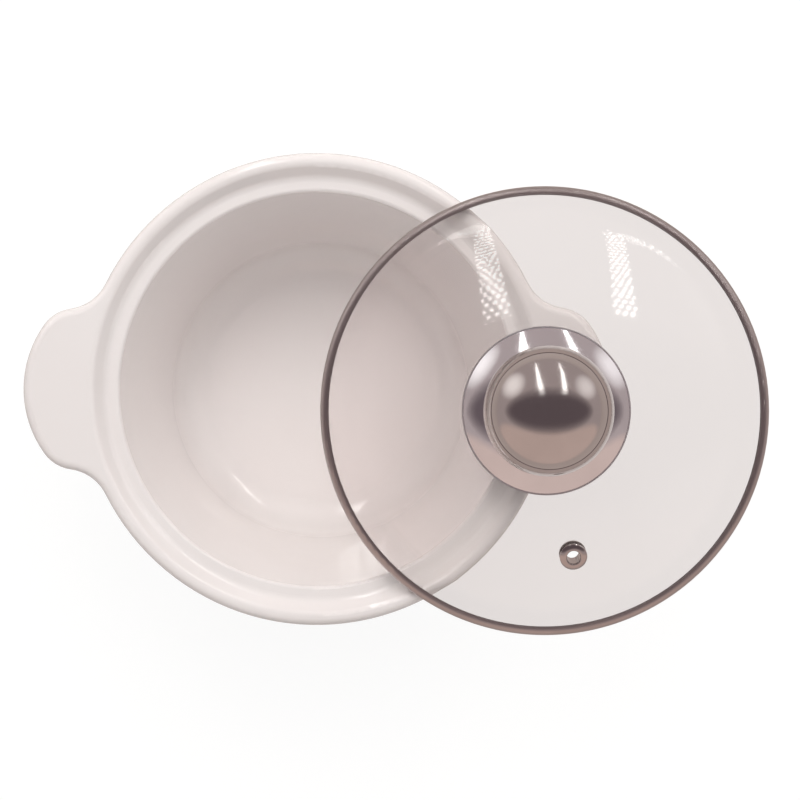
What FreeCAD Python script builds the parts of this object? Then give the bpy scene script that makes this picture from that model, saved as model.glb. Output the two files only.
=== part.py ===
import FreeCAD, Part
import math
import os
import Sketcher

# Stoneware crock of a slow cooker with its glass lid laid half aside on the rim.
# Millimetres. The crock stands on Z = 0 with its axis on Z and its ears along X.

SIZES = {
    # crock
    "crock_height": 100.0,
    "lip_width": 3.6,
    "rim_thickness": 10.0,
    "rim_top_round": 3.2,
    "rim_under_round": 3.5,
    "rim_root_round": 4.5,
    "seat_play": 1.4,
    "crest_round": 3.0,
    "seat_depth": 5.0,
    "seat_slope": 46.0,
    "seat_cove": 4.0,
    "mouth_inset": 12.0,
    "mouth_round": 1.5,
    "wall_taper": 13.0,
    "wall_thickness": 6.5,
    "cavity_corner": 16.0,
    "floor_thickness": 8.0,
    "foot_step": 3.1,
    "foot_ring_width": 8.0,
    "foot_groove_width": 6.0,
    "foot_groove_depth": 1.0,
    # ears
    "ear_length": 23.0,
    "ear_tip_round": 44.5,
    "ear_corner_round": 15.8,
    "ear_root_round": 18.5,
    "ear_corner_side": 16.7,
    # lid as it lies on the rim
    "lid_aside": 1.5,
    "lid_shift_y": -8.7,
    "lid_rest_gap": 0.3,
    # lid band and glass
    "lid_radius": 90.0,
    "band_width": 3.4,
    "band_sheet": 0.6,
    "band_round": 2.4,
    "band_play": 0.4,
    "glass_thickness": 4.0,
    "flange_width": 8.0,
    "dome_blend": 12.0,
    "dome_rise": 17.0,
    "land_radius": 11.0,
    "glass_hole": 4.0,
    # knob
    "shell_sheet": 0.8,
    "screw_hole": 2.8,
    "bush_radius": 10.0,
    "bush_hole": 3.2,
    "plate_radius": 33.5,
    "plate_edge": 0.7,
    "plate_top_radius": 12.4,
    "plate_rise": 6.0,
    "plate_crown": 35.0,
    "plate_glass_gap": 0.3,
    "neck_radius": 10.5,
    "neck_height": 2.4,
    "neck_flare": 5.0,
    "flare_angle": 20.0,
    "flare_length": 7.4,
    "ball_radius": 25.6,
    "seam_inset": 2.8,
    "seam_rise": 8.0,
    "seam_step": 0.25,
    "spigot_depth": 2.0,
    "dome_height": 11.0,
    "shell_play": 0.15,
    # fixings under the knob
    "insert_radius": 5.0,
    "insert_height": 10.0,
    "thread_radius": 2.5,
    "thread_play": 0.15,
    "thread_length": 8.0,
    "gasket_radius": 10.5,
    "gasket_thickness": 1.5,
    "washer_radius": 9.5,
    "washer_thickness": 1.0,
    "screw_head_radius": 4.8,
    "screw_head_height": 3.0,
    "screw_head_round": 1.6,
    "recess_length": 5.0,
    "recess_width": 1.1,
    "recess_depth": 1.8,
    # steam vent
    "vent_inset": 30.9,
    "vent_angle": -79.2,
    "vent_bore": 2.7,
    "vent_barrel": 3.3,
    "vent_hole": 3.7,
    "vent_flange": 5.5,
    "vent_flange_height": 1.3,
    "vent_foot": 4.5,
    "vent_foot_height": 0.6,
    "vent_washer_radius": 5.4,
    "vent_washer_thickness": 0.8,
    "vent_play": 0.2,
}

doc = FreeCAD.newDocument("crock_and_lid")
dim = doc.addObject("Spreadsheet::Sheet", "dim")
for row, (alias, number) in enumerate(SIZES.items(), start=1):
    dim.set(f"A{row}", alias)
    dim.set(f"B{row}", str(number))
    dim.setAlias(f"B{row}", alias)
doc.recompute()


def value(text):
    return float(dim.evalExpression(text))


def plane_of(body, role):
    return next(f for f in body.Origin.OriginFeatures if f.Role == role)


def new_body(label):
    body = doc.addObject("PartDesign::Body", label)
    body.Label = label
    return body


def new_sketch(body, name, role):
    sketch = body.newObject("Sketcher::SketchObject", name)
    sketch.AttachmentSupport = [(plane_of(body, role), "")]
    sketch.MapMode = "FlatFace"
    return sketch


def bind(sketch, constraint, text):
    index = sketch.addConstraint(constraint)
    sketch.setExpression(f"Constraints[{index}]", text)


def pin(sketch, geo, end, across, up):
    """Holds a point at the two given expressions, or on an axis where one is 0."""
    if across == "0":
        sketch.addConstraint(Sketcher.Constraint("PointOnObject", geo, end, -2))
    else:
        bind(sketch, Sketcher.Constraint("DistanceX", -1, 1, geo, end, value(across)), across)
    if up == "0":
        sketch.addConstraint(Sketcher.Constraint("PointOnObject", geo, end, -1))
    else:
        bind(sketch, Sketcher.Constraint("DistanceY", -1, 1, geo, end, value(up)), up)


def arc_between(start, end, radius, turn):
    """The short arc from start to end; turn is 1 for anticlockwise and -1 for clockwise."""
    chord = end - start
    height = math.sqrt(max(radius**2 - (chord.Length / 2) ** 2, 0.0))
    side = FreeCAD.Vector(-chord.y, chord.x, 0).normalize() * (turn * height)
    centre = (start + end) / 2 + side
    first, last = (start, end) if turn > 0 else (end, start)
    angles = [math.atan2(p.y - centre.y, p.x - centre.x) for p in (first, last)]
    circle = Part.Circle(centre, FreeCAD.Vector(0, 0, 1), radius)
    return Part.ArcOfCircle(circle, angles[0], angles[1])


def draw_profile(sketch, steps):
    """Closed outline through the steps. A step is (across, up) for a line that ends there,
    or (across, up, radius, turn) for an arc that ends there."""
    corners = [FreeCAD.Vector(value(s[0]), value(s[1]), 0) for s in steps]
    ends = []
    for i, step in enumerate(steps):
        start, end = corners[i - 1], corners[i]
        if len(step) == 2:
            geo = sketch.addGeometry(Part.LineSegment(start, end), False)
            ends.append((geo, 1, 2))
        else:
            geo = sketch.addGeometry(arc_between(start, end, value(step[2]), step[3]), False)
            ends.append((geo, 1, 2) if step[3] > 0 else (geo, 2, 1))
    for i, step in enumerate(steps):
        here, after = ends[i], ends[(i + 1) % len(steps)]
        sketch.addConstraint(Sketcher.Constraint("Coincident", here[0], here[2], after[0], after[1]))
        pin(sketch, here[0], here[2], step[0], step[1])
        if len(step) == 4:
            bind(sketch, Sketcher.Constraint("Radius", here[0], value(step[2])), step[2])


def revolve(body, name, steps, kind="PartDesign::Revolution"):
    sketch = new_sketch(body, f"{name}_sketch", "XZ_Plane")
    draw_profile(sketch, steps)
    feature = body.newObject(kind, name)
    feature.Profile = sketch
    feature.ReferenceAxis = (sketch, ["V_Axis"])
    feature.Angle = 360
    sketch.Visibility = False
    body.Tip = feature
    return feature


lid_shift_x = "(dim.lid_radius + dim.lid_aside)"
flange_start = "(dim.lid_radius - dim.flange_width)"
vent_reach = "(dim.lid_radius - dim.vent_inset)"


def place_on_lid(body):
    body.setExpression("Placement.Base.x", lid_shift_x)
    body.setExpression("Placement.Base.y", "dim.lid_shift_y")
    body.setExpression("Placement.Base.z", "dim.crock_height + dim.lid_rest_gap")


def turned(label, steps):
    """A piece of the lid, turned about the lid's own axis."""
    body = new_body(label)
    revolve(body, f"{label}_turned", steps)
    place_on_lid(body)
    return body


def round_edges(body, name, base, edges, radius):
    fillet = body.newObject("PartDesign::Fillet", name)
    fillet.Base = (base, edges)
    fillet.setExpression("Radius", radius)
    body.Tip = fillet
    return fillet


def edges_at(feature, height, inner, outer):
    """Names of the edges that lie wholly at a height and between two distances from the axis."""
    names = []
    for i, edge in enumerate(feature.Shape.Edges, start=1):
        box = edge.BoundBox
        mid = edge.valueAt((edge.FirstParameter + edge.LastParameter) / 2)
        flat = abs(box.ZMin - height) < 1e-4 and abs(box.ZMax - height) < 1e-4
        if flat and inner < math.hypot(mid.x, mid.y) < outer:
            names.append(f"Edge{i}")
    return names


# The lid sets the crock: crest, rim, mouth and ears follow from its radius.
crest_radius = "(dim.lid_radius + dim.seat_play)"
rim_outer = f"({crest_radius} + dim.lip_width)"
mouth_radius = f"({crest_radius} - dim.mouth_inset)"
ear_reach = f"({rim_outer} + dim.ear_length)"

# Rim and ears: one flat outline of touching arcs, rounded along its edges.
crock = new_body("crock")
rim_bottom = "(dim.crock_height - dim.rim_thickness)"
rim_sketch = new_sketch(crock, "rim_outline", "XY_Plane")
rim_sketch.setExpression("AttachmentOffset.Base.z", rim_bottom)

tip_centre = value(f"{ear_reach} - dim.ear_tip_round")
inner_reach = value("dim.ear_tip_round - dim.ear_corner_round")
corner_side = value("dim.ear_corner_side")
corner_round = value("dim.ear_corner_round")
root_round = value("dim.ear_root_round")
rim_radius = value(rim_outer)
corner_centre = FreeCAD.Vector(tip_centre + math.sqrt(inner_reach**2 - corner_side**2), corner_side, 0)
# The root arc touches the rim circle and the corner arc from outside.
to_root = rim_radius + root_round
span = corner_centre.Length
along = (to_root**2 - (corner_round + root_round) ** 2 + span**2) / (2 * span)
aside = math.sqrt(to_root**2 - along**2)
unit = corner_centre / span
root_centre = unit * along + FreeCAD.Vector(-unit.y, unit.x, 0) * aside
tip_end = corner_centre + (corner_centre - FreeCAD.Vector(tip_centre, 0, 0)).normalize() * corner_round
corner_end = corner_centre + (root_centre - corner_centre).normalize() * corner_round
root_end = root_centre * (rim_radius / to_root)


def flipped(point, sx, sy):
    return FreeCAD.Vector(point.x * sx, point.y * sy, 0)


# Round the outline anticlockwise, from the right ear's lower tip end.
stops = []
for sx, sy, order in ((1, 1, 1), (-1, 1, -1), (-1, -1, 1), (1, -1, -1)):
    quarter = [flipped(p, sx, sy) for p in (tip_end, corner_end, root_end)]
    stops += quarter[::order]
tip_round = value("dim.ear_tip_round")
radii = [corner_round, root_round, rim_radius, root_round, corner_round, tip_round] * 2
turns = [1, -1, 1, -1, 1, 1] * 2
names = ["corner", "root", "rim", "root", "corner", "tip"] * 2
exprs = {
    "corner": "dim.ear_corner_round",
    "root": "dim.ear_root_round",
    "rim": rim_outer,
    "tip": "dim.ear_tip_round",
}
rim_ends = []
for i, radius in enumerate(radii):
    if names[i] == "rim":
        # the rim arc spans more than half a turn's chord test would allow, so it is drawn by angles
        angles = [math.atan2(p.y, p.x) for p in (stops[i], stops[(i + 1) % 12])]
        circle = Part.Circle(FreeCAD.Vector(0, 0, 0), FreeCAD.Vector(0, 0, 1), radius)
        geo = rim_sketch.addGeometry(Part.ArcOfCircle(circle, angles[0], angles[1]), False)
    else:
        arc = arc_between(stops[i], stops[(i + 1) % 12], radius, turns[i])
        geo = rim_sketch.addGeometry(arc, False)
    rim_ends.append((geo, 1, 2) if turns[i] > 0 else (geo, 2, 1))
for i, here in enumerate(rim_ends):
    after = rim_ends[(i + 1) % 12]
    rim_sketch.addConstraint(Sketcher.Constraint("Tangent", here[0], here[2], after[0], after[1]))
for i, here in enumerate(rim_ends):
    bind(rim_sketch, Sketcher.Constraint("Radius", here[0], radii[i]), exprs[names[i]])
    if names[i] == "rim":
        rim_sketch.addConstraint(Sketcher.Constraint("Coincident", here[0], 3, -1, 1))
    elif names[i] == "tip":
        way = 1 if i == 11 else -1
        rim_sketch.addConstraint(Sketcher.Constraint("PointOnObject", here[0], 3, -1))
        text = f"{way} * ({ear_reach} - dim.ear_tip_round)"
        bind(rim_sketch, Sketcher.Constraint("DistanceX", -1, 1, here[0], 3, value(text)), text)
    elif names[i] == "corner":
        way = 1 if i in (0, 4) else -1
        text = f"{way} * dim.ear_corner_side"
        bind(rim_sketch, Sketcher.Constraint("DistanceY", -1, 1, here[0], 3, value(text)), text)

rim_plate = crock.newObject("PartDesign::Pad", "rim_plate")
rim_plate.Profile = rim_sketch
rim_plate.setExpression("Length", "dim.rim_thickness")
crock.Tip = rim_plate
doc.recompute()
top_edges = edges_at(rim_plate, value("dim.crock_height"), 0, 200)
rim_top = round_edges(crock, "rim_top_edge", rim_plate, top_edges, "dim.rim_top_round")
doc.recompute()
under_edges = edges_at(rim_top, value(rim_bottom), 0, 200)
rim_under = round_edges(crock, "rim_under_edge", rim_top, under_edges, "dim.rim_under_round")
doc.recompute()

# Bowl: cavity and outer wall share one taper and one corner centre.
ledge = "(dim.crock_height - dim.seat_depth)"
wall_top = f"({ledge} - dim.mouth_round * (1 - sin(dim.wall_taper)))"
corner_up = "(dim.floor_thickness + dim.cavity_corner)"
wall_foot = f"({corner_up} - dim.cavity_corner * sin(dim.wall_taper))"
floor_radius = (
    f"({mouth_radius} - dim.cavity_corner * cos(dim.wall_taper)"
    f" - tan(dim.wall_taper) * ({wall_top} - {wall_foot}))"
)
outer_corner = "(dim.cavity_corner + dim.wall_thickness)"
outer_foot = f"({corner_up} - {outer_corner} * sin(dim.wall_taper))"
outer_foot_across = f"({floor_radius} + {outer_corner} * cos(dim.wall_taper))"
foot_radius = f"({floor_radius} + dim.foot_step)"
groove_outer = f"({foot_radius} - dim.foot_ring_width)"
groove_inner = f"({groove_outer} - dim.foot_groove_width)"
bowl_top = f"({rim_bottom} + dim.rim_thickness / 2)"
foot_top = f"({corner_up} - sqrt({outer_corner} ^ 2 - dim.foot_step ^ 2))"
bowl = revolve(
    crock,
    "bowl_outside",
    [
        ("0", "0"),
        (groove_inner, "0"),
        (groove_inner, "dim.foot_groove_depth"),
        (groove_outer, "dim.foot_groove_depth"),
        (groove_outer, "0"),
        (foot_radius, "0"),
        (foot_radius, foot_top),
        (outer_foot_across, outer_foot, outer_corner, 1),
        (f"{outer_foot_across} + tan(dim.wall_taper) * ({bowl_top} - {outer_foot})", bowl_top),
        ("0", bowl_top),
    ],
)
doc.recompute()
root_edges = edges_at(bowl, value(rim_bottom), 0, value(f"{rim_outer} - dim.rim_under_round - 1"))
bowl_root = round_edges(crock, "rim_root", bowl, root_edges, "dim.rim_root_round")
doc.recompute()

# The lid's seat: ledge, cove, sloped face and rounded crest.
slope_rise = "(dim.seat_depth - (dim.crest_round + dim.seat_cove) * (1 - cos(dim.seat_slope)))"
slope_top = f"({crest_radius} - dim.crest_round * sin(dim.seat_slope))"
slope_low = f"({slope_top} - {slope_rise} / tan(dim.seat_slope))"
cavity = revolve(
    crock,
    "cavity",
    [
        ("0", "dim.floor_thickness"),
        (floor_radius, "dim.floor_thickness"),
        (f"{floor_radius} + dim.cavity_corner * cos(dim.wall_taper)", wall_foot, "dim.cavity_corner", 1),
        (mouth_radius, wall_top),
        (f"{mouth_radius} + dim.mouth_round * cos(dim.wall_taper)", ledge, "dim.mouth_round", -1),
        (f"{slope_low} - dim.seat_cove * sin(dim.seat_slope)", ledge),
        (slope_low, f"{ledge} + dim.seat_cove * (1 - cos(dim.seat_slope))", "dim.seat_cove", 1),
        (slope_top, "dim.crock_height - dim.crest_round * (1 - cos(dim.seat_slope))"),
        (crest_radius, "dim.crock_height", "dim.crest_round", -1),
        (crest_radius, "dim.crock_height + 5"),
        ("0", "dim.crock_height + 5"),
    ],
    kind="PartDesign::Groove",
)
doc.recompute()

# Lid glass: flat land for the knob, dome, reverse blend and flat flange with a half-round edge.
flange_under = "dim.band_sheet"
flange_top = "(dim.band_sheet + dim.glass_thickness)"
land = f"({flange_top} + dim.dome_rise)"
land_under = f"({land} - dim.glass_thickness)"
dome_run = f"({flange_start} - dim.land_radius)"
dome_radius = f"(({dome_run} ^ 2 + dim.dome_rise ^ 2) / (2 * dim.dome_rise) - dim.dome_blend)"
dome_share = f"({dome_run} / ({dome_radius} + dim.dome_blend))"
dome_fall = f"(({dome_radius} + dim.dome_blend - dim.dome_rise) / ({dome_radius} + dim.dome_blend))"
under_radius = f"({dome_radius} - dim.glass_thickness)"
half_glass = "(dim.glass_thickness / 2)"
glass_radius = "(dim.lid_radius - dim.band_sheet - dim.band_play)"
glass_blank = turned(
    "lid_glass_blank",
    [
        ("dim.glass_hole", land_under),
        ("dim.land_radius", land_under),
        (
            f"dim.land_radius + {under_radius} * {dome_share}",
            f"{land} - {dome_radius} + {under_radius} * {dome_fall}",
            under_radius,
            -1,
        ),
        (flange_start, flange_under, "dim.dome_blend + dim.glass_thickness", 1),
        (f"{glass_radius} - {half_glass}", flange_under),
        (glass_radius, f"{flange_under} + {half_glass}", half_glass, 1),
        (f"{glass_radius} - {half_glass}", flange_top, half_glass, 1),
        (flange_start, flange_top),
        (
            f"dim.land_radius + {dome_radius} * {dome_share}",
            f"{land} - {dome_radius} + {dome_radius} * {dome_fall}",
            "dim.dome_blend",
            -1,
        ),
        ("dim.land_radius", land, dome_radius, 1),
        ("dim.glass_hole", land),
    ],
)

# Band: rolled channel around the glass flange.
band_height = "(dim.glass_thickness + 2 * dim.band_sheet)"
band_inner = "(dim.lid_radius - dim.band_width)"
band_bend = "(dim.lid_radius - dim.band_round)"
inner_round = "(dim.band_round - dim.band_sheet)"
turned(
    "lid_rim_band",
    [
        (band_inner, "0"),
        (band_bend, "0"),
        ("dim.lid_radius", "dim.band_round", "dim.band_round", 1),
        ("dim.lid_radius", f"{band_height} - dim.band_round"),
        (band_bend, band_height, "dim.band_round", 1),
        (band_inner, band_height),
        (band_inner, f"{band_height} - dim.band_sheet"),
        (band_bend, f"{band_height} - dim.band_sheet"),
        ("dim.lid_radius - dim.band_sheet", f"{band_height} - dim.band_round", inner_round, -1),
        ("dim.lid_radius - dim.band_sheet", "dim.band_round"),
        (band_bend, "dim.band_sheet", inner_round, -1),
        (band_inner, "dim.band_sheet"),
    ],
)

# Knob base plate: dished sheet whose edge ends just above the glass.
plate_drop = f"({dome_radius} - sqrt({dome_radius} ^ 2 - (dim.plate_radius - dim.land_radius) ^ 2))"
plate_low = f"({land} - {plate_drop} + dim.plate_glass_gap)"
plate_top = f"({land} + dim.plate_rise + dim.shell_sheet)"
plate_under = f"({land} + dim.plate_rise)"
turned(
    "knob_bush",
    [
        ("dim.bush_hole", land),
        ("dim.bush_radius", land),
        ("dim.bush_radius", plate_under),
        ("dim.bush_hole", plate_under),
    ],
)
turned(
    "knob_base_plate",
    [
        ("dim.screw_hole", plate_under),
        ("dim.plate_top_radius - dim.shell_sheet / 2", plate_under),
        ("dim.plate_radius - dim.plate_edge - dim.shell_sheet / 2", plate_low, "dim.plate_crown", -1),
        ("dim.plate_radius", plate_low),
        ("dim.plate_radius", f"{plate_low} + dim.shell_sheet"),
        ("dim.plate_radius - dim.plate_edge", f"{plate_low} + dim.shell_sheet"),
        ("dim.plate_top_radius", plate_top, "dim.plate_crown", 1),
        ("dim.screw_hole", plate_top),
    ],
)

# Knob cup: neck, flare, side and crown are offsets of one line; the dome's spigot stands in it.
flare_up = f"({plate_top} + 1 + dim.neck_height)"
flare_centre = "(dim.neck_radius + dim.neck_flare)"
side_run = "(dim.flare_length * cos(dim.flare_angle))"
side_rise = "(dim.flare_length * sin(dim.flare_angle))"
flare_end_across = f"({flare_centre} - dim.neck_flare * sin(dim.flare_angle))"
flare_end_up = f"({flare_up} + dim.neck_flare * cos(dim.flare_angle))"
side_end_across = f"({flare_end_across} + {side_run})"
side_end_up = f"({flare_end_up} + {side_rise})"
ball_round = f"((dim.ball_radius - {side_end_across}) / (1 - sin(dim.flare_angle)))"
hem = f"({side_end_up} + {ball_round} * cos(dim.flare_angle))"


def cup_side(depth, shift):
    """Neck, flare and side at a depth under the outer face."""
    turn_in = f"({ball_round} - {depth})"
    turn_out = f"(dim.neck_flare + {depth})"
    return [
        (f"dim.neck_radius - {depth}", flare_up),
        (
            f"{flare_centre} - {turn_out} * sin(dim.flare_angle)",
            f"{flare_up} + {turn_out} * cos(dim.flare_angle)",
            turn_out,
            -1 * shift,
        ),
        (
            f"{side_end_across} - {depth} * sin(dim.flare_angle)",
            f"{side_end_up} + {depth} * cos(dim.flare_angle)",
        ),
        (f"dim.ball_radius - {depth}", hem, turn_in, shift),
    ]


seam_radius = "(dim.ball_radius - dim.seam_inset)"
seam = f"({hem} + dim.seam_rise)"
crown_round = "((dim.seam_inset ^ 2 + dim.seam_rise ^ 2) / (2 * dim.seam_inset))"
crown_inner = f"sqrt(({crown_round} - dim.shell_sheet) ^ 2 - dim.seam_rise ^ 2)"
seam_inner = f"(dim.ball_radius - {crown_round} + {crown_inner})"
outer_side = cup_side("0", 1)
inner_side = cup_side("dim.shell_sheet", 1)
# The inner side is walked from the hem down, so each arc ends where it began on the way up.
inner_down = [
    inner_side[3][:2] + (f"{crown_round} - dim.shell_sheet", -1),
    inner_side[2] + (inner_side[3][2], -1),
    inner_side[1][:2],
    inner_side[0] + (inner_side[1][2], 1),
]
turned(
    "knob_cup",
    [
        ("dim.screw_hole", plate_top),
        ("dim.neck_radius - 1", plate_top),
        ("dim.neck_radius", f"{plate_top} + 1", "1", 1),
    ]
    + outer_side
    + [
        (seam_radius, seam, crown_round, 1),
        (seam_inner, seam),
    ]
    + inner_down
    + [
        ("dim.neck_radius - dim.shell_sheet", f"{plate_top} + dim.shell_sheet"),
        ("dim.screw_hole", f"{plate_top} + dim.shell_sheet"),
    ],
)

# Knob dome: spun cap that sits on the cup's edge, with a spigot inside it.
cap_base = f"({seam_radius} - dim.seam_step)"
cap_radius = f"(({cap_base} ^ 2 + dim.dome_height ^ 2) / (2 * dim.dome_height))"
cap_inside = f"({cap_radius} - dim.shell_sheet)"
spigot = f"({seam_inner} - dim.shell_play)"
spigot_bore = f"({spigot} - dim.shell_sheet)"
cap_centre = f"({seam} + dim.dome_height - {cap_radius})"
turned(
    "knob_dome",
    [
        ("0", f"{cap_centre} + {cap_inside}"),
        (spigot_bore, f"{cap_centre} + sqrt({cap_inside} ^ 2 - {spigot_bore} ^ 2)", cap_inside, -1),
        (spigot_bore, f"{seam} - dim.spigot_depth"),
        (spigot, f"{seam} - dim.spigot_depth"),
        (spigot, seam),
        (cap_base, seam),
        ("0", f"{seam} + dim.dome_height", cap_radius, 1),
    ],
)

# Fixings on the knob's axis.
cup_floor = f"({plate_top} + dim.shell_sheet)"
turned(
    "knob_insert",
    [
        ("dim.thread_radius + dim.thread_play", cup_floor),
        ("dim.insert_radius", cup_floor),
        ("dim.insert_radius", f"{cup_floor} + dim.insert_height"),
        ("dim.thread_radius + dim.thread_play", f"{cup_floor} + dim.insert_height"),
    ],
)
gasket_low = f"({land_under} - dim.gasket_thickness)"
washer_low = f"({gasket_low} - dim.washer_thickness)"
turned(
    "lower_gasket",
    [
        ("dim.bush_hole", gasket_low),
        ("dim.gasket_radius", gasket_low),
        ("dim.gasket_radius", land_under),
        ("dim.bush_hole", land_under),
    ],
)
turned(
    "retaining_washer",
    [
        ("dim.screw_hole", washer_low),
        ("dim.washer_radius", washer_low),
        ("dim.washer_radius", gasket_low),
        ("dim.screw_hole", gasket_low),
    ],
)
head_low = f"({washer_low} - dim.screw_head_height)"
screw = new_body("knob_screw")
revolve(
    screw,
    "screw_turned",
    [
        ("0", head_low),
        ("dim.screw_head_radius - dim.screw_head_round", head_low),
        ("dim.screw_head_radius", f"{head_low} + dim.screw_head_round", "dim.screw_head_round", 1),
        ("dim.screw_head_radius", washer_low),
        ("dim.thread_radius", washer_low),
        ("dim.thread_radius", f"{cup_floor} + dim.thread_length"),
        ("0", f"{cup_floor} + dim.thread_length"),
    ],
)
recess_sketch = new_sketch(screw, "recess_outline", "XY_Plane")
recess_sketch.setExpression("AttachmentOffset.Base.z", head_low)
arm, half = "(dim.recess_length / 2)", "(dim.recess_width / 2)"
draw_profile(
    recess_sketch,
    [
        (arm, f"-{half}"),
        (arm, half),
        (half, half),
        (half, arm),
        (f"-{half}", arm),
        (f"-{half}", half),
        (f"-{arm}", half),
        (f"-{arm}", f"-{half}"),
        (f"-{half}", f"-{half}"),
        (f"-{half}", f"-{arm}"),
        (half, f"-{arm}"),
        (half, f"-{half}"),
    ],
)
recess = screw.newObject("PartDesign::Pocket", "recess")
recess.Profile = recess_sketch
recess.Reversed = True
recess.setExpression("Length", "dim.recess_depth")
screw.Tip = recess
place_on_lid(screw)

# Steam vent: eyelet and washer stand square to the dome.
vent_tilt = f"asin(({vent_reach} - dim.land_radius) / {dome_radius})"
eyelet_seat = "(dim.vent_foot_height + dim.vent_washer_thickness + dim.vent_play + dim.glass_thickness)"
eyelet = new_body("vent_eyelet")
revolve(
    eyelet,
    "eyelet_turned",
    [
        ("dim.vent_bore", "0"),
        ("dim.vent_foot", "0"),
        ("dim.vent_foot", "dim.vent_foot_height"),
        ("dim.vent_barrel", "dim.vent_foot_height"),
        ("dim.vent_barrel", eyelet_seat),
        ("dim.vent_flange", eyelet_seat),
        ("dim.vent_flange", f"{eyelet_seat} + dim.vent_flange_height / 4"),
        ("dim.vent_barrel", f"{eyelet_seat} + dim.vent_flange_height", "dim.vent_flange * 0.6", 1),
        ("dim.vent_bore", f"{eyelet_seat} + dim.vent_flange_height - (dim.vent_barrel - dim.vent_bore)",
         "dim.vent_barrel - dim.vent_bore", 1),
    ],
)
vent_washer = new_body("vent_washer")
revolve(
    vent_washer,
    "vent_washer_turned",
    [
        ("dim.vent_barrel + dim.vent_play", "dim.vent_foot_height"),
        ("dim.vent_washer_radius", "dim.vent_foot_height"),
        ("dim.vent_washer_radius", "dim.vent_foot_height + dim.vent_washer_thickness"),
        ("dim.vent_barrel + dim.vent_play", "dim.vent_foot_height + dim.vent_washer_thickness"),
    ],
)
tilt = value(vent_tilt)
turn = FreeCAD.Rotation(value("dim.vent_angle"), tilt, 0)
tilt_angle = math.radians(tilt)
vent_up = value(f"{land} - {dome_radius}") + value(dome_radius) * math.cos(tilt_angle)
vent_way = math.radians(value("dim.vent_angle"))
reach = value(vent_reach)
vent_spot = FreeCAD.Vector(reach * math.cos(vent_way), reach * math.sin(vent_way), vent_up)
lid_spot = FreeCAD.Vector(
    value(lid_shift_x), value("dim.lid_shift_y"), value("dim.crock_height + dim.lid_rest_gap")
)
vent_base = lid_spot + vent_spot - turn.multVec(FreeCAD.Vector(0, 0, value(eyelet_seat)))
eyelet.Placement = FreeCAD.Placement(vent_base, turn)
vent_washer.Placement = FreeCAD.Placement(vent_base, turn)

vent_drill = doc.addObject("Part::Cylinder", "vent_drill")
vent_drill.setExpression("Radius", "dim.vent_hole")
vent_drill.setExpression("Height", f"{eyelet_seat} + dim.glass_thickness")
vent_drill.Placement = FreeCAD.Placement(vent_base, turn)
lid_glass = doc.addObject("Part::Cut", "lid_glass")
lid_glass.Label = "lid_glass"
lid_glass.Base = glass_blank
lid_glass.Tool = vent_drill
doc.recompute()

NODES = [
    "crock",
    "lid_glass",
    "lid_rim_band",
    "knob_bush",
    "knob_base_plate",
    "knob_cup",
    "knob_dome",
    "knob_insert",
    "knob_screw",
    "lower_gasket",
    "retaining_washer",
    "vent_eyelet",
    "vent_washer",
]
for item in doc.Objects:
    if "Invalid" in item.State or "Error" in item.State:
        raise RuntimeError(f"{item.Name} is {item.State}")
os.makedirs("parts", exist_ok=True)
for label in NODES:
    node = doc.getObjectsByLabel(label)[0]
    shape = node.Shape
    if shape.isNull() or not shape.isValid() or len(shape.Solids) != 1:
        raise RuntimeError(f"{label} has no single valid solid")
    shape.exportStep(f"parts/{label}.step")
    print(label, round(shape.Volume / 1000, 2), "cm3")
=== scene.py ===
import bpy
from mathutils import Matrix, Vector


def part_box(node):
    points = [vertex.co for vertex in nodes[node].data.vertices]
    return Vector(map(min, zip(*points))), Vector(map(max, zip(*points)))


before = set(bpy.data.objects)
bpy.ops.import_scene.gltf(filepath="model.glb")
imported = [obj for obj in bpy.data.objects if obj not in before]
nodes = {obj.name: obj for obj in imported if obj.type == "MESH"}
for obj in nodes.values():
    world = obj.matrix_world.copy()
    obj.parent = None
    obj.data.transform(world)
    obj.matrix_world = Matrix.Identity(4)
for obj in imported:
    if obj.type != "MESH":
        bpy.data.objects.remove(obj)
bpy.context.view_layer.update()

scene = bpy.context.scene
scene.view_settings.view_transform = "Standard"

# Places, in metres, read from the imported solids.
band_low, band_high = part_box("lid_rim_band")
lid_x = (band_low.x + band_high.x) / 2
lid_y = (band_low.y + band_high.y) / 2
rim_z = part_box("crock")[1].z
plate_low, plate_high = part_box("knob_base_plate")
plate_radius = (plate_high.x - plate_low.x) / 2

# Camera: straight down from far away, as the photograph's round rims show.
PICTURE = 800  # pixels each way
CROCK_X, CROCK_Y = 316.7, 389.0  # the crock's axis in the photograph, pixels
PX = 0.40254e-3  # metres per pixel, just below the rim
BELOW_RIM = 0.003
FAR = 1.5
SENSOR = 36.0  # millimetres
camera_data = bpy.data.cameras.new("camera")
camera_data.sensor_width = SENSOR
camera_data.lens = SENSOR * FAR / (PICTURE * PX)
camera = bpy.data.objects.new("camera", camera_data)
camera.location = (
    (PICTURE / 2 - CROCK_X) * PX,
    -(PICTURE / 2 - CROCK_Y) * PX,
    rim_z - BELOW_RIM + FAR,
)
scene.collection.objects.link(camera)
scene.camera = camera

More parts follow.
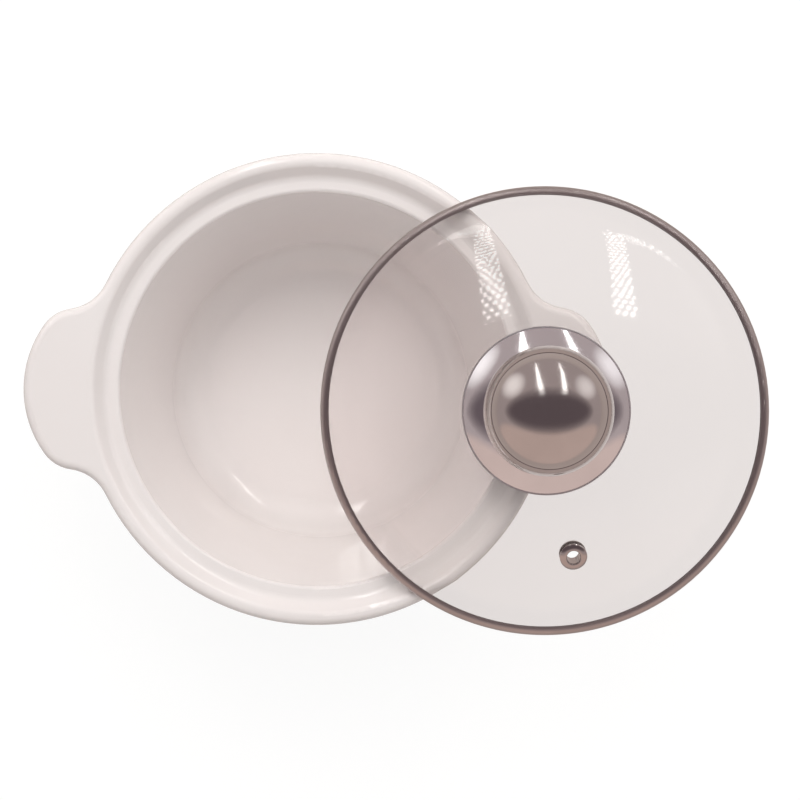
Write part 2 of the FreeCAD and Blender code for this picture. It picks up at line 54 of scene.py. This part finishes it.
# Colours, as linear light.
WHITE = (1, 1, 1, 1)
LAMP_WHITE = (1.0, 0.985, 0.965, 1)
GLAZE_PALE = (0.918, 0.869, 0.859, 1)
GLAZE_DEEP = (0.900, 0.845, 0.833, 1)
# the next colour is a painted highlight for sharp edges
GLAZE_EDGE_HIGHLIGHT = (0.930, 0.890, 0.880, 1)
CLAY_DARK = (0.52, 0.42, 0.33, 1)
CLAY_PALE = (0.63, 0.53, 0.43, 1)
STEEL_POLISHED = (0.56, 0.51, 0.495, 1)
STEEL_SATIN = (0.61, 0.575, 0.56, 1)
STEEL_SPUN = (0.82, 0.81, 0.83, 1)
STEEL_ROLLED = (0.53, 0.48, 0.47, 1)
STEEL_PLAIN = (0.56, 0.555, 0.55, 1)
GLASS = (0.97, 0.94, 0.938, 1)
GLASS_TO_LAMPS = (0.93, 0.935, 0.93, 1)
SILICONE_CLEAN = (0.60, 0.60, 0.59, 1)
SILICONE_DUSTY = (0.50, 0.50, 0.495, 1)
FLOOR_MATT = (0.90, 0.885, 0.87, 1)
FLOOR_TO_EYE = (1.06, 1.06, 1.06, 1)
FLOOR_IN_STEEL = (0.52, 0.425, 0.395, 1)
# the table's tone seen through the glass, darkened by the lid's painted shade
FLOOR_UNDER_GLASS_SHADED = (0.88, 0.86, 0.845, 1)
ROOM_LIGHT = (0.372, 0.366, 0.362, 1)
ROOM_IN_MIRRORS = (0.47, 0.395, 0.39, 1)
CEILING = (0.145, 0.112, 0.122, 1)
ROOM_FRONT = (0.68, 0.53, 0.48, 1)
WINDOW_LEFT = (1.2, 1.13, 1.11, 1)
WINDOW_RIGHT = (1.05, 0.98, 0.97, 1)

# Measures of the looks; lengths in metres.
MOST_NOISE = (0.3, 0.7)  # the range that most of a noise lies in
RISE, FALL = (0.0, 1.0), (1.0, 0.0)
GLAZE_END = (0.0016, 0.0019)  # the heights where clay gives way to glaze
GLAZE_END_RAGGED = 0.0008
CLAY_ROUGHNESS = 0.62
CLAY_RELIEF = 0.3
MARK_TURN = 0.0015  # how far a turned mark changes in one radian
MARK_DEPTH = 0.00004
SMEAR_SHADE = 0.93
PLATE_LIP = 0.7e-3
EDGE_FADE = 0.1e-3
EDGE_ROUGHNESS = 0.6
FLOOR_SIZE = 24.0
FLOOR_GAP = 0.0005
FLOOR_GLOW = 0.85
DOTS_ACROSS = 3.5
DOT_EDGE = (0.02, 0.14)  # squares of the distance from a dot's middle, in pitches
DOT_LIGHT = (9.0, 0.9)
STRIP_SIDES = (0.42, 0.5)  # shares of the strip's width


class Nodes:
    """Short calls for one node tree."""

    def __init__(self, tree):
        self.tree = tree
        tree.nodes.clear()

    def add(self, kind, **values):
        node = self.tree.nodes.new(kind)
        for key, item in values.items():
            setattr(node, key, item)
        return node

    def feed(self, socket, item):
        """Link an output to the input socket, or set the socket's own value."""
        if isinstance(item, bpy.types.NodeSocket):
            self.tree.links.new(item, socket)
        else:
            socket.default_value = item

    def put(self, node, **values):
        for key, item in values.items():
            self.feed(node.inputs[key.replace("_", " ")], item)
        return node

    def math(self, operation, a, b=0.0):
        node = self.add("ShaderNodeMath", operation=operation)
        self.feed(node.inputs[0], a)
        self.feed(node.inputs[1], b)
        return node.outputs[0]

    def noise(self, vector, scale, detail=3.0, roughness=0.5):
        node = self.add("ShaderNodeTexNoise")
        self.put(node, Vector=vector, Scale=scale, Detail=detail, Roughness=roughness)
        return node.outputs["Fac"]

    def spread(self, value, source, target):
        """Map the source range to the target range, and no further."""
        node = self.add("ShaderNodeMapRange")
        self.put(node, Value=value, From_Min=source[0], From_Max=source[1])
        self.put(node, To_Min=target[0], To_Max=target[1])
        return node.outputs[0]

    def blend(self, factor, a, b):
        node = self.add("ShaderNodeMix", data_type="RGBA")
        for name, item in (("Factor", factor), ("A", a), ("B", b)):
            self.feed(next(s for s in node.inputs if s.name == name and s.enabled), item)
        return next(s for s in node.outputs if s.enabled)

    def bump(self, height, strength, distance):
        node = self.add("ShaderNodeBump")
        self.put(node, Height=height, Strength=strength, Distance=distance)
        return node.outputs[0]

    def here(self):
        return self.add("ShaderNodeTexCoord").outputs["Object"]

    def split(self, vector):
        return self.put(self.add("ShaderNodeSeparateXYZ"), Vector=vector).outputs

    def path(self):
        return self.add("ShaderNodeLightPath").outputs

    def clear(self, colour):
        return self.put(self.add("ShaderNodeBsdfTransparent"), Color=colour).outputs[0]

    def light(self, colour, strength):
        node = self.add("ShaderNodeEmission")
        return self.put(node, Color=colour, Strength=strength).outputs[0]

    def mix(self, factor, first, second):
        node = self.add("ShaderNodeMixShader")
        for socket, item in zip(node.inputs, (factor, first, second)):
            self.feed(socket, item)
        return node.outputs[0]

    def surface(self, **values):
        return self.put(self.add("ShaderNodeBsdfPrincipled"), **values).outputs[0]

    def out(self, shader, kind="ShaderNodeOutputMaterial"):
        self.put(self.add(kind), Surface=shader)


def new_material(name):
    material = bpy.data.materials.new(name)
    material.use_nodes = True
    return material, Nodes(material.node_tree)


def stoneware():
    """Warm white glaze, painted highlights on edges, and bare clay where the foot stands."""
    material, n = new_material("glazed_stoneware")
    here = n.here()
    cloud = n.spread(n.noise(here, scale=14.0, detail=4.0), (0.35, 0.65), RISE)
    base = n.blend(cloud, GLAZE_PALE, GLAZE_DEEP)
    # painted highlight: sharp convex edges are blended towards a lighter glaze
    edges = n.add("ShaderNodeNewGeometry").outputs["Pointiness"]
    base = n.blend(n.spread(edges, (0.52, 0.60), (0.0, 0.35)), base, GLAZE_EDGE_HIGHLIGHT)
    ragged = n.math("MULTIPLY", n.noise(here, scale=160.0, detail=2.0), GLAZE_END_RAGGED)
    clay = n.spread(n.math("ADD", n.split(here)["Z"], ragged), GLAZE_END, FALL)
    grain = n.noise(here, scale=900.0, detail=3.0)
    base = n.blend(clay, base, n.blend(grain, CLAY_DARK, CLAY_PALE))
    gloss = n.spread(n.noise(here, scale=40.0, detail=3.0), MOST_NOISE, (0.05, 0.10))
    relief = n.math("MULTIPLY", grain, n.math("MULTIPLY", clay, CLAY_RELIEF))
    waves = n.math("ADD", n.noise(here, scale=55.0, detail=2.0), relief)
    shader = n.surface(
        Base_Color=base,
        Roughness=n.math("ADD", gloss, n.math("MULTIPLY", clay, CLAY_ROUGHNESS)),
        IOR=1.6,
        Coat_Weight=1.0,
        Coat_Roughness=0.02,
        Normal=n.bump(waves, strength=0.10, distance=0.0006),
    )
    n.out(shader)
    return material


def steel(name, colour, gloss, rings, depth, haze, edge_from=None):
    """Steel with marks that run round the lid's axis, and a dull cut edge from a radius on."""
    material, n = new_material(name)
    here = n.here()
    moved = n.add("ShaderNodeVectorMath", operation="SUBTRACT")
    n.feed(moved.inputs[0], here)
    n.feed(moved.inputs[1], (lid_x, lid_y, 0.0))
    place = n.split(moved.outputs[0])
    across = n.math("POWER", place["X"], 2.0)
    along = n.math("POWER", place["Y"], 2.0)
    radius = n.math("SQRT", n.math("ADD", across, along))
    turn = n.math("ARCTAN2", place["Y"], place["X"])
    turned = n.add("ShaderNodeCombineXYZ")
    n.put(turned, X=radius, Y=n.math("MULTIPLY", turn, MARK_TURN), Z=place["Z"])
    lines = n.noise(turned.outputs[0], scale=rings, detail=4.0, roughness=0.6)
    smear = n.noise(here, scale=60.0, detail=3.0)
    hazy = n.spread(smear, (0.45, 0.75), (0.0, haze))
    rough = n.math("ADD", n.spread(lines, MOST_NOISE, gloss), hazy)
    if edge_from:
        fade = (edge_from - EDGE_FADE, edge_from + EDGE_FADE)
        rough = n.math("MAXIMUM", rough, n.spread(radius, fade, (0.0, EDGE_ROUGHNESS)))
    smeared = [c * SMEAR_SHADE for c in colour[:3]] + [1]
    shader = n.surface(
        Base_Color=n.blend(n.spread(smear, MOST_NOISE, RISE), colour, smeared),
        Metallic=1.0,
        Roughness=rough,
        Normal=n.bump(lines, strength=depth, distance=MARK_DEPTH),
    )
    n.out(shader)
    return material


def glass():
    """Clear glass with faint wipe marks; lamps pass through it to what lies below."""
    material, n = new_material("clear_glass")
    smear = n.noise(n.here(), scale=26.0, detail=5.0, roughness=0.6)
    solid = n.surface(
        Base_Color=GLASS,
        Roughness=n.spread(smear, (0.56, 0.78), (0.0, 0.07)),
        IOR=1.5,
        Transmission_Weight=1.0,
    )
    path = n.path()
    lighting = n.math("MAXIMUM", path["Is Shadow Ray"], path["Is Diffuse Ray"])
    n.out(n.mix(lighting, solid, n.clear(GLASS_TO_LAMPS)))
    return material


def silicone():
    """Matt grey rubber with dust in its grain."""
    material, n = new_material("silicone")
    dust = n.noise(n.here(), scale=220.0, detail=3.0)
    dusty = n.spread(dust, (0.35, 0.7), RISE)
    shader = n.surface(
        Base_Color=n.blend(dusty, SILICONE_CLEAN, SILICONE_DUSTY),
        Roughness=n.spread(dust, MOST_NOISE, (0.48, 0.66)),
        Normal=n.bump(dust, strength=0.3, distance=0.0001),
    )
    n.out(shader)
    return material


glaze = stoneware()
polished = steel(
    "polished_steel", STEEL_POLISHED, gloss=(0.06, 0.12), rings=2600.0, depth=0.10, haze=0.04
)
satin = steel("satin_steel", STEEL_SATIN, gloss=(0.10, 0.15), rings=3200.0, depth=0.14, haze=0.04)
spun = steel(
    "spun_steel",
    STEEL_SPUN,
    gloss=(0.06, 0.12),
    rings=2600.0,
    depth=0.10,
    haze=0.04,
    edge_from=plate_radius - PLATE_LIP,
)
rolled = steel(
    "rolled_steel", STEEL_ROLLED, gloss=(0.30, 0.40), rings=1800.0, depth=0.12, haze=0.06
)
plain = steel("plain_steel", STEEL_PLAIN, gloss=(0.28, 0.40), rings=900.0, depth=0.15, haze=0.10)
DRESS = (
    (glaze, ("crock",)),
    (glass(), ("lid_glass",)),
    (polished, ("knob_cup", "vent_eyelet")),
    (spun, ("knob_base_plate",)),
    (rolled, ("lid_rim_band",)),
    (satin, ("knob_dome",)),
    (plain, ("knob_insert", "knob_screw", "retaining_washer", "vent_washer")),
    (silicone(), ("knob_bush", "lower_gasket")),
)
for material, names in DRESS:
    for name in names:
        nodes[name].data.materials.clear()
        nodes[name].data.materials.append(material)


def new_plane(name, width, height):
    """A flat sheet for the stage, with a material of its own."""
    mesh = bpy.data.meshes.new(name)
    x, y = width / 2, height / 2
    mesh.from_pydata([(-x, -y, 0), (x, -y, 0), (x, y, 0), (-x, y, 0)], [], [(0, 1, 2, 3)])
    plane = bpy.data.objects.new(name, mesh)
    scene.collection.objects.link(plane)
    material, n = new_material(name)
    mesh.materials.append(material)
    return plane, n


def add_floor():
    """White to the eye, with a soft shadow; a table's tone in the steel, and under the glass with
    painted shade.
    """
    floor, n = new_plane("floor", FLOOR_SIZE, FLOOR_SIZE)
    floor.location.z = -FLOOR_GAP
    path = n.path()
    seen = n.math("MAXIMUM", path["Is Camera Ray"], path["Is Glossy Ray"])
    seen = n.math("MAXIMUM", seen, path["Is Transmission Ray"])
    # under the glass: the table's tone with the lid's shade painted in
    tone = n.blend(path["Is Transmission Ray"], FLOOR_IN_STEEL, FLOOR_UNDER_GLASS_SHADED)
    tone = n.blend(path["Is Camera Ray"], tone, FLOOR_TO_EYE)
    matt = n.put(n.add("ShaderNodeBsdfDiffuse"), Color=FLOOR_MATT).outputs[0]
    n.out(n.mix(n.math("MULTIPLY", seen, FLOOR_GLOW), matt, n.light(tone, 1.0)))


def add_world():
    """An even room: soft light, a warm grey in mirrors, white to the eye."""
    world = bpy.data.worlds.new("room")
    world.use_nodes = True
    n = Nodes(world.node_tree)
    path = n.path()
    tone = n.blend(path["Is Glossy Ray"], ROOM_LIGHT, ROOM_IN_MIRRORS)
    room = n.put(n.add("ShaderNodeBackground"), Color=tone, Strength=1.0).outputs[0]
    white = n.put(n.add("ShaderNodeBackground"), Color=WHITE, Strength=1.0).outputs[0]
    n.out(n.mix(path["Is Camera Ray"], room, white), "ShaderNodeOutputWorld")
    scene.world = world


def add_lamp(name, start, end, width, power):
    """A strip of light that faces the crock and that no mirror sees, in metres and watts."""
    start, end = Vector(start), Vector(end)
    data = bpy.data.lights.new(name, "AREA")
    data.shape = "RECTANGLE"
    data.size = width
    data.size_y = (end - start).length
    data.energy = power
    data.color = LAMP_WHITE[:3]
    lamp = bpy.data.objects.new(name, data)
    along = (end - start).normalized()
    middle = (start + end) / 2
    down = (Vector((0, 0, rim_z)) - middle).normalized()
    side = along.cross(down).normalized()
    down = side.cross(along).normalized()
    turn = Matrix((side, along, -down)).transposed().to_4x4()
    lamp.matrix_world = Matrix.Translation(middle) @ turn
    scene.collection.objects.link(lamp)
    lamp.visible_glossy = False
    lamp.visible_transmission = False
    return lamp


def new_card(name, width, height):
    """A sheet of light for mirrors, with its own x and y. Nothing else sees it."""
    card, n = new_plane(name, width, height)
    card.visible_camera = False
    card.visible_shadow = False
    card.visible_diffuse = False
    card.visible_transmission = False
    place = n.split(n.here())
    return card, n, place["X"], place["Y"]


def glow(n, cover, colour, strength):
    """Light where cover is 1, clear where it is 0."""
    n.out(n.mix(cover, n.clear(WHITE), n.light(colour, strength)))


def add_card(name, offset, width, height, colour, edge):
    """A soft ellipse that faces the knob from the given offset."""
    card, n, x, y = new_card(name, width, height)
    offset = Vector(offset)
    card.location = Vector((lid_x, lid_y, rim_z)) + offset
    card.rotation_mode = "QUATERNION"
    card.rotation_quaternion = (-offset).to_track_quat("-Z", "Y")
    across = n.math("POWER", n.math("DIVIDE", x, width / 2), 2.0)
    along = n.math("POWER", n.math("DIVIDE", y, height / 2), 2.0)
    cover = n.spread(n.math("ADD", across, along), (1.0 - edge, 1.0), FALL)
    glow(n, cover, colour, 1.0)


def add_dots(lamp):
    """The lamp as mirrors see it, also through the lid: staggered dots on a paler strip."""
    width, length = lamp.data.size, lamp.data.size_y
    card, n, x, y = new_card(f"{lamp.name}_dots", width, length)
    card.matrix_world = lamp.matrix_world
    card.visible_transmission = True
    pitch = width / DOTS_ACROSS
    across, along = n.math("DIVIDE", x, pitch), n.math("DIVIDE", y, pitch)
    stagger = n.math("MULTIPLY", n.math("MODULO", n.math("FLOOR", along), 2.0), 0.5)
    off_x = n.math("SUBTRACT", n.math("FRACT", n.math("ADD", across, stagger)), 0.5)
    off_y = n.math("SUBTRACT", n.math("FRACT", along), 0.5)
    apart = n.math("ADD", n.math("POWER", off_x, 2.0), n.math("POWER", off_y, 2.0))
    fade = [share * width for share in STRIP_SIDES]
    sides = n.spread(n.math("ABSOLUTE", x), fade, FALL)
    glow(n, sides, LAMP_WHITE, n.spread(apart, DOT_EDGE, DOT_LIGHT))


add_floor()
add_world()

# Two long lamps that run off beyond the top of the picture, and a soft one above.
STRIP_WIDTH, STRIP_Z, STRIP_END_Y = 0.30, 2.0, 16.0
left = add_lamp(
    "lamp_left",
    start=(lid_x - 0.36, lid_y + 0.83, STRIP_Z),
    end=(lid_x - 4.2, STRIP_END_Y, STRIP_Z),
    width=STRIP_WIDTH,
    power=80.0,
)
right = add_lamp(
    "lamp_right",
    start=(lid_x + 0.91, lid_y + 0.95, STRIP_Z),
    end=(lid_x + 3.56, STRIP_END_Y, STRIP_Z),
    width=STRIP_WIDTH,
    power=78.0,
)
add_lamp("soft_above", start=(-1.2, 0.9, 2.1), end=(1.2, 0.9, 2.1), width=1.6, power=28.0)

# What the steel, the glass and the glaze mirror.
add_dots(left)
add_dots(right)
add_card("ceiling_dark", (0.0, 0.0, 0.26), width=1.5, height=0.34, colour=CEILING, edge=0.75)
add_card("room_front", (0.0, -4.5, 1.5), width=34.0, height=9.0, colour=ROOM_FRONT, edge=0.55)
add_card("window_left", (-2.4, 1.75, 0.9), width=2.2, height=2.4, colour=WINDOW_LEFT, edge=0.95)
add_card("window_right", (2.4, 1.55, 0.9), width=1.9, height=2.2, colour=WINDOW_RIGHT, edge=0.95)
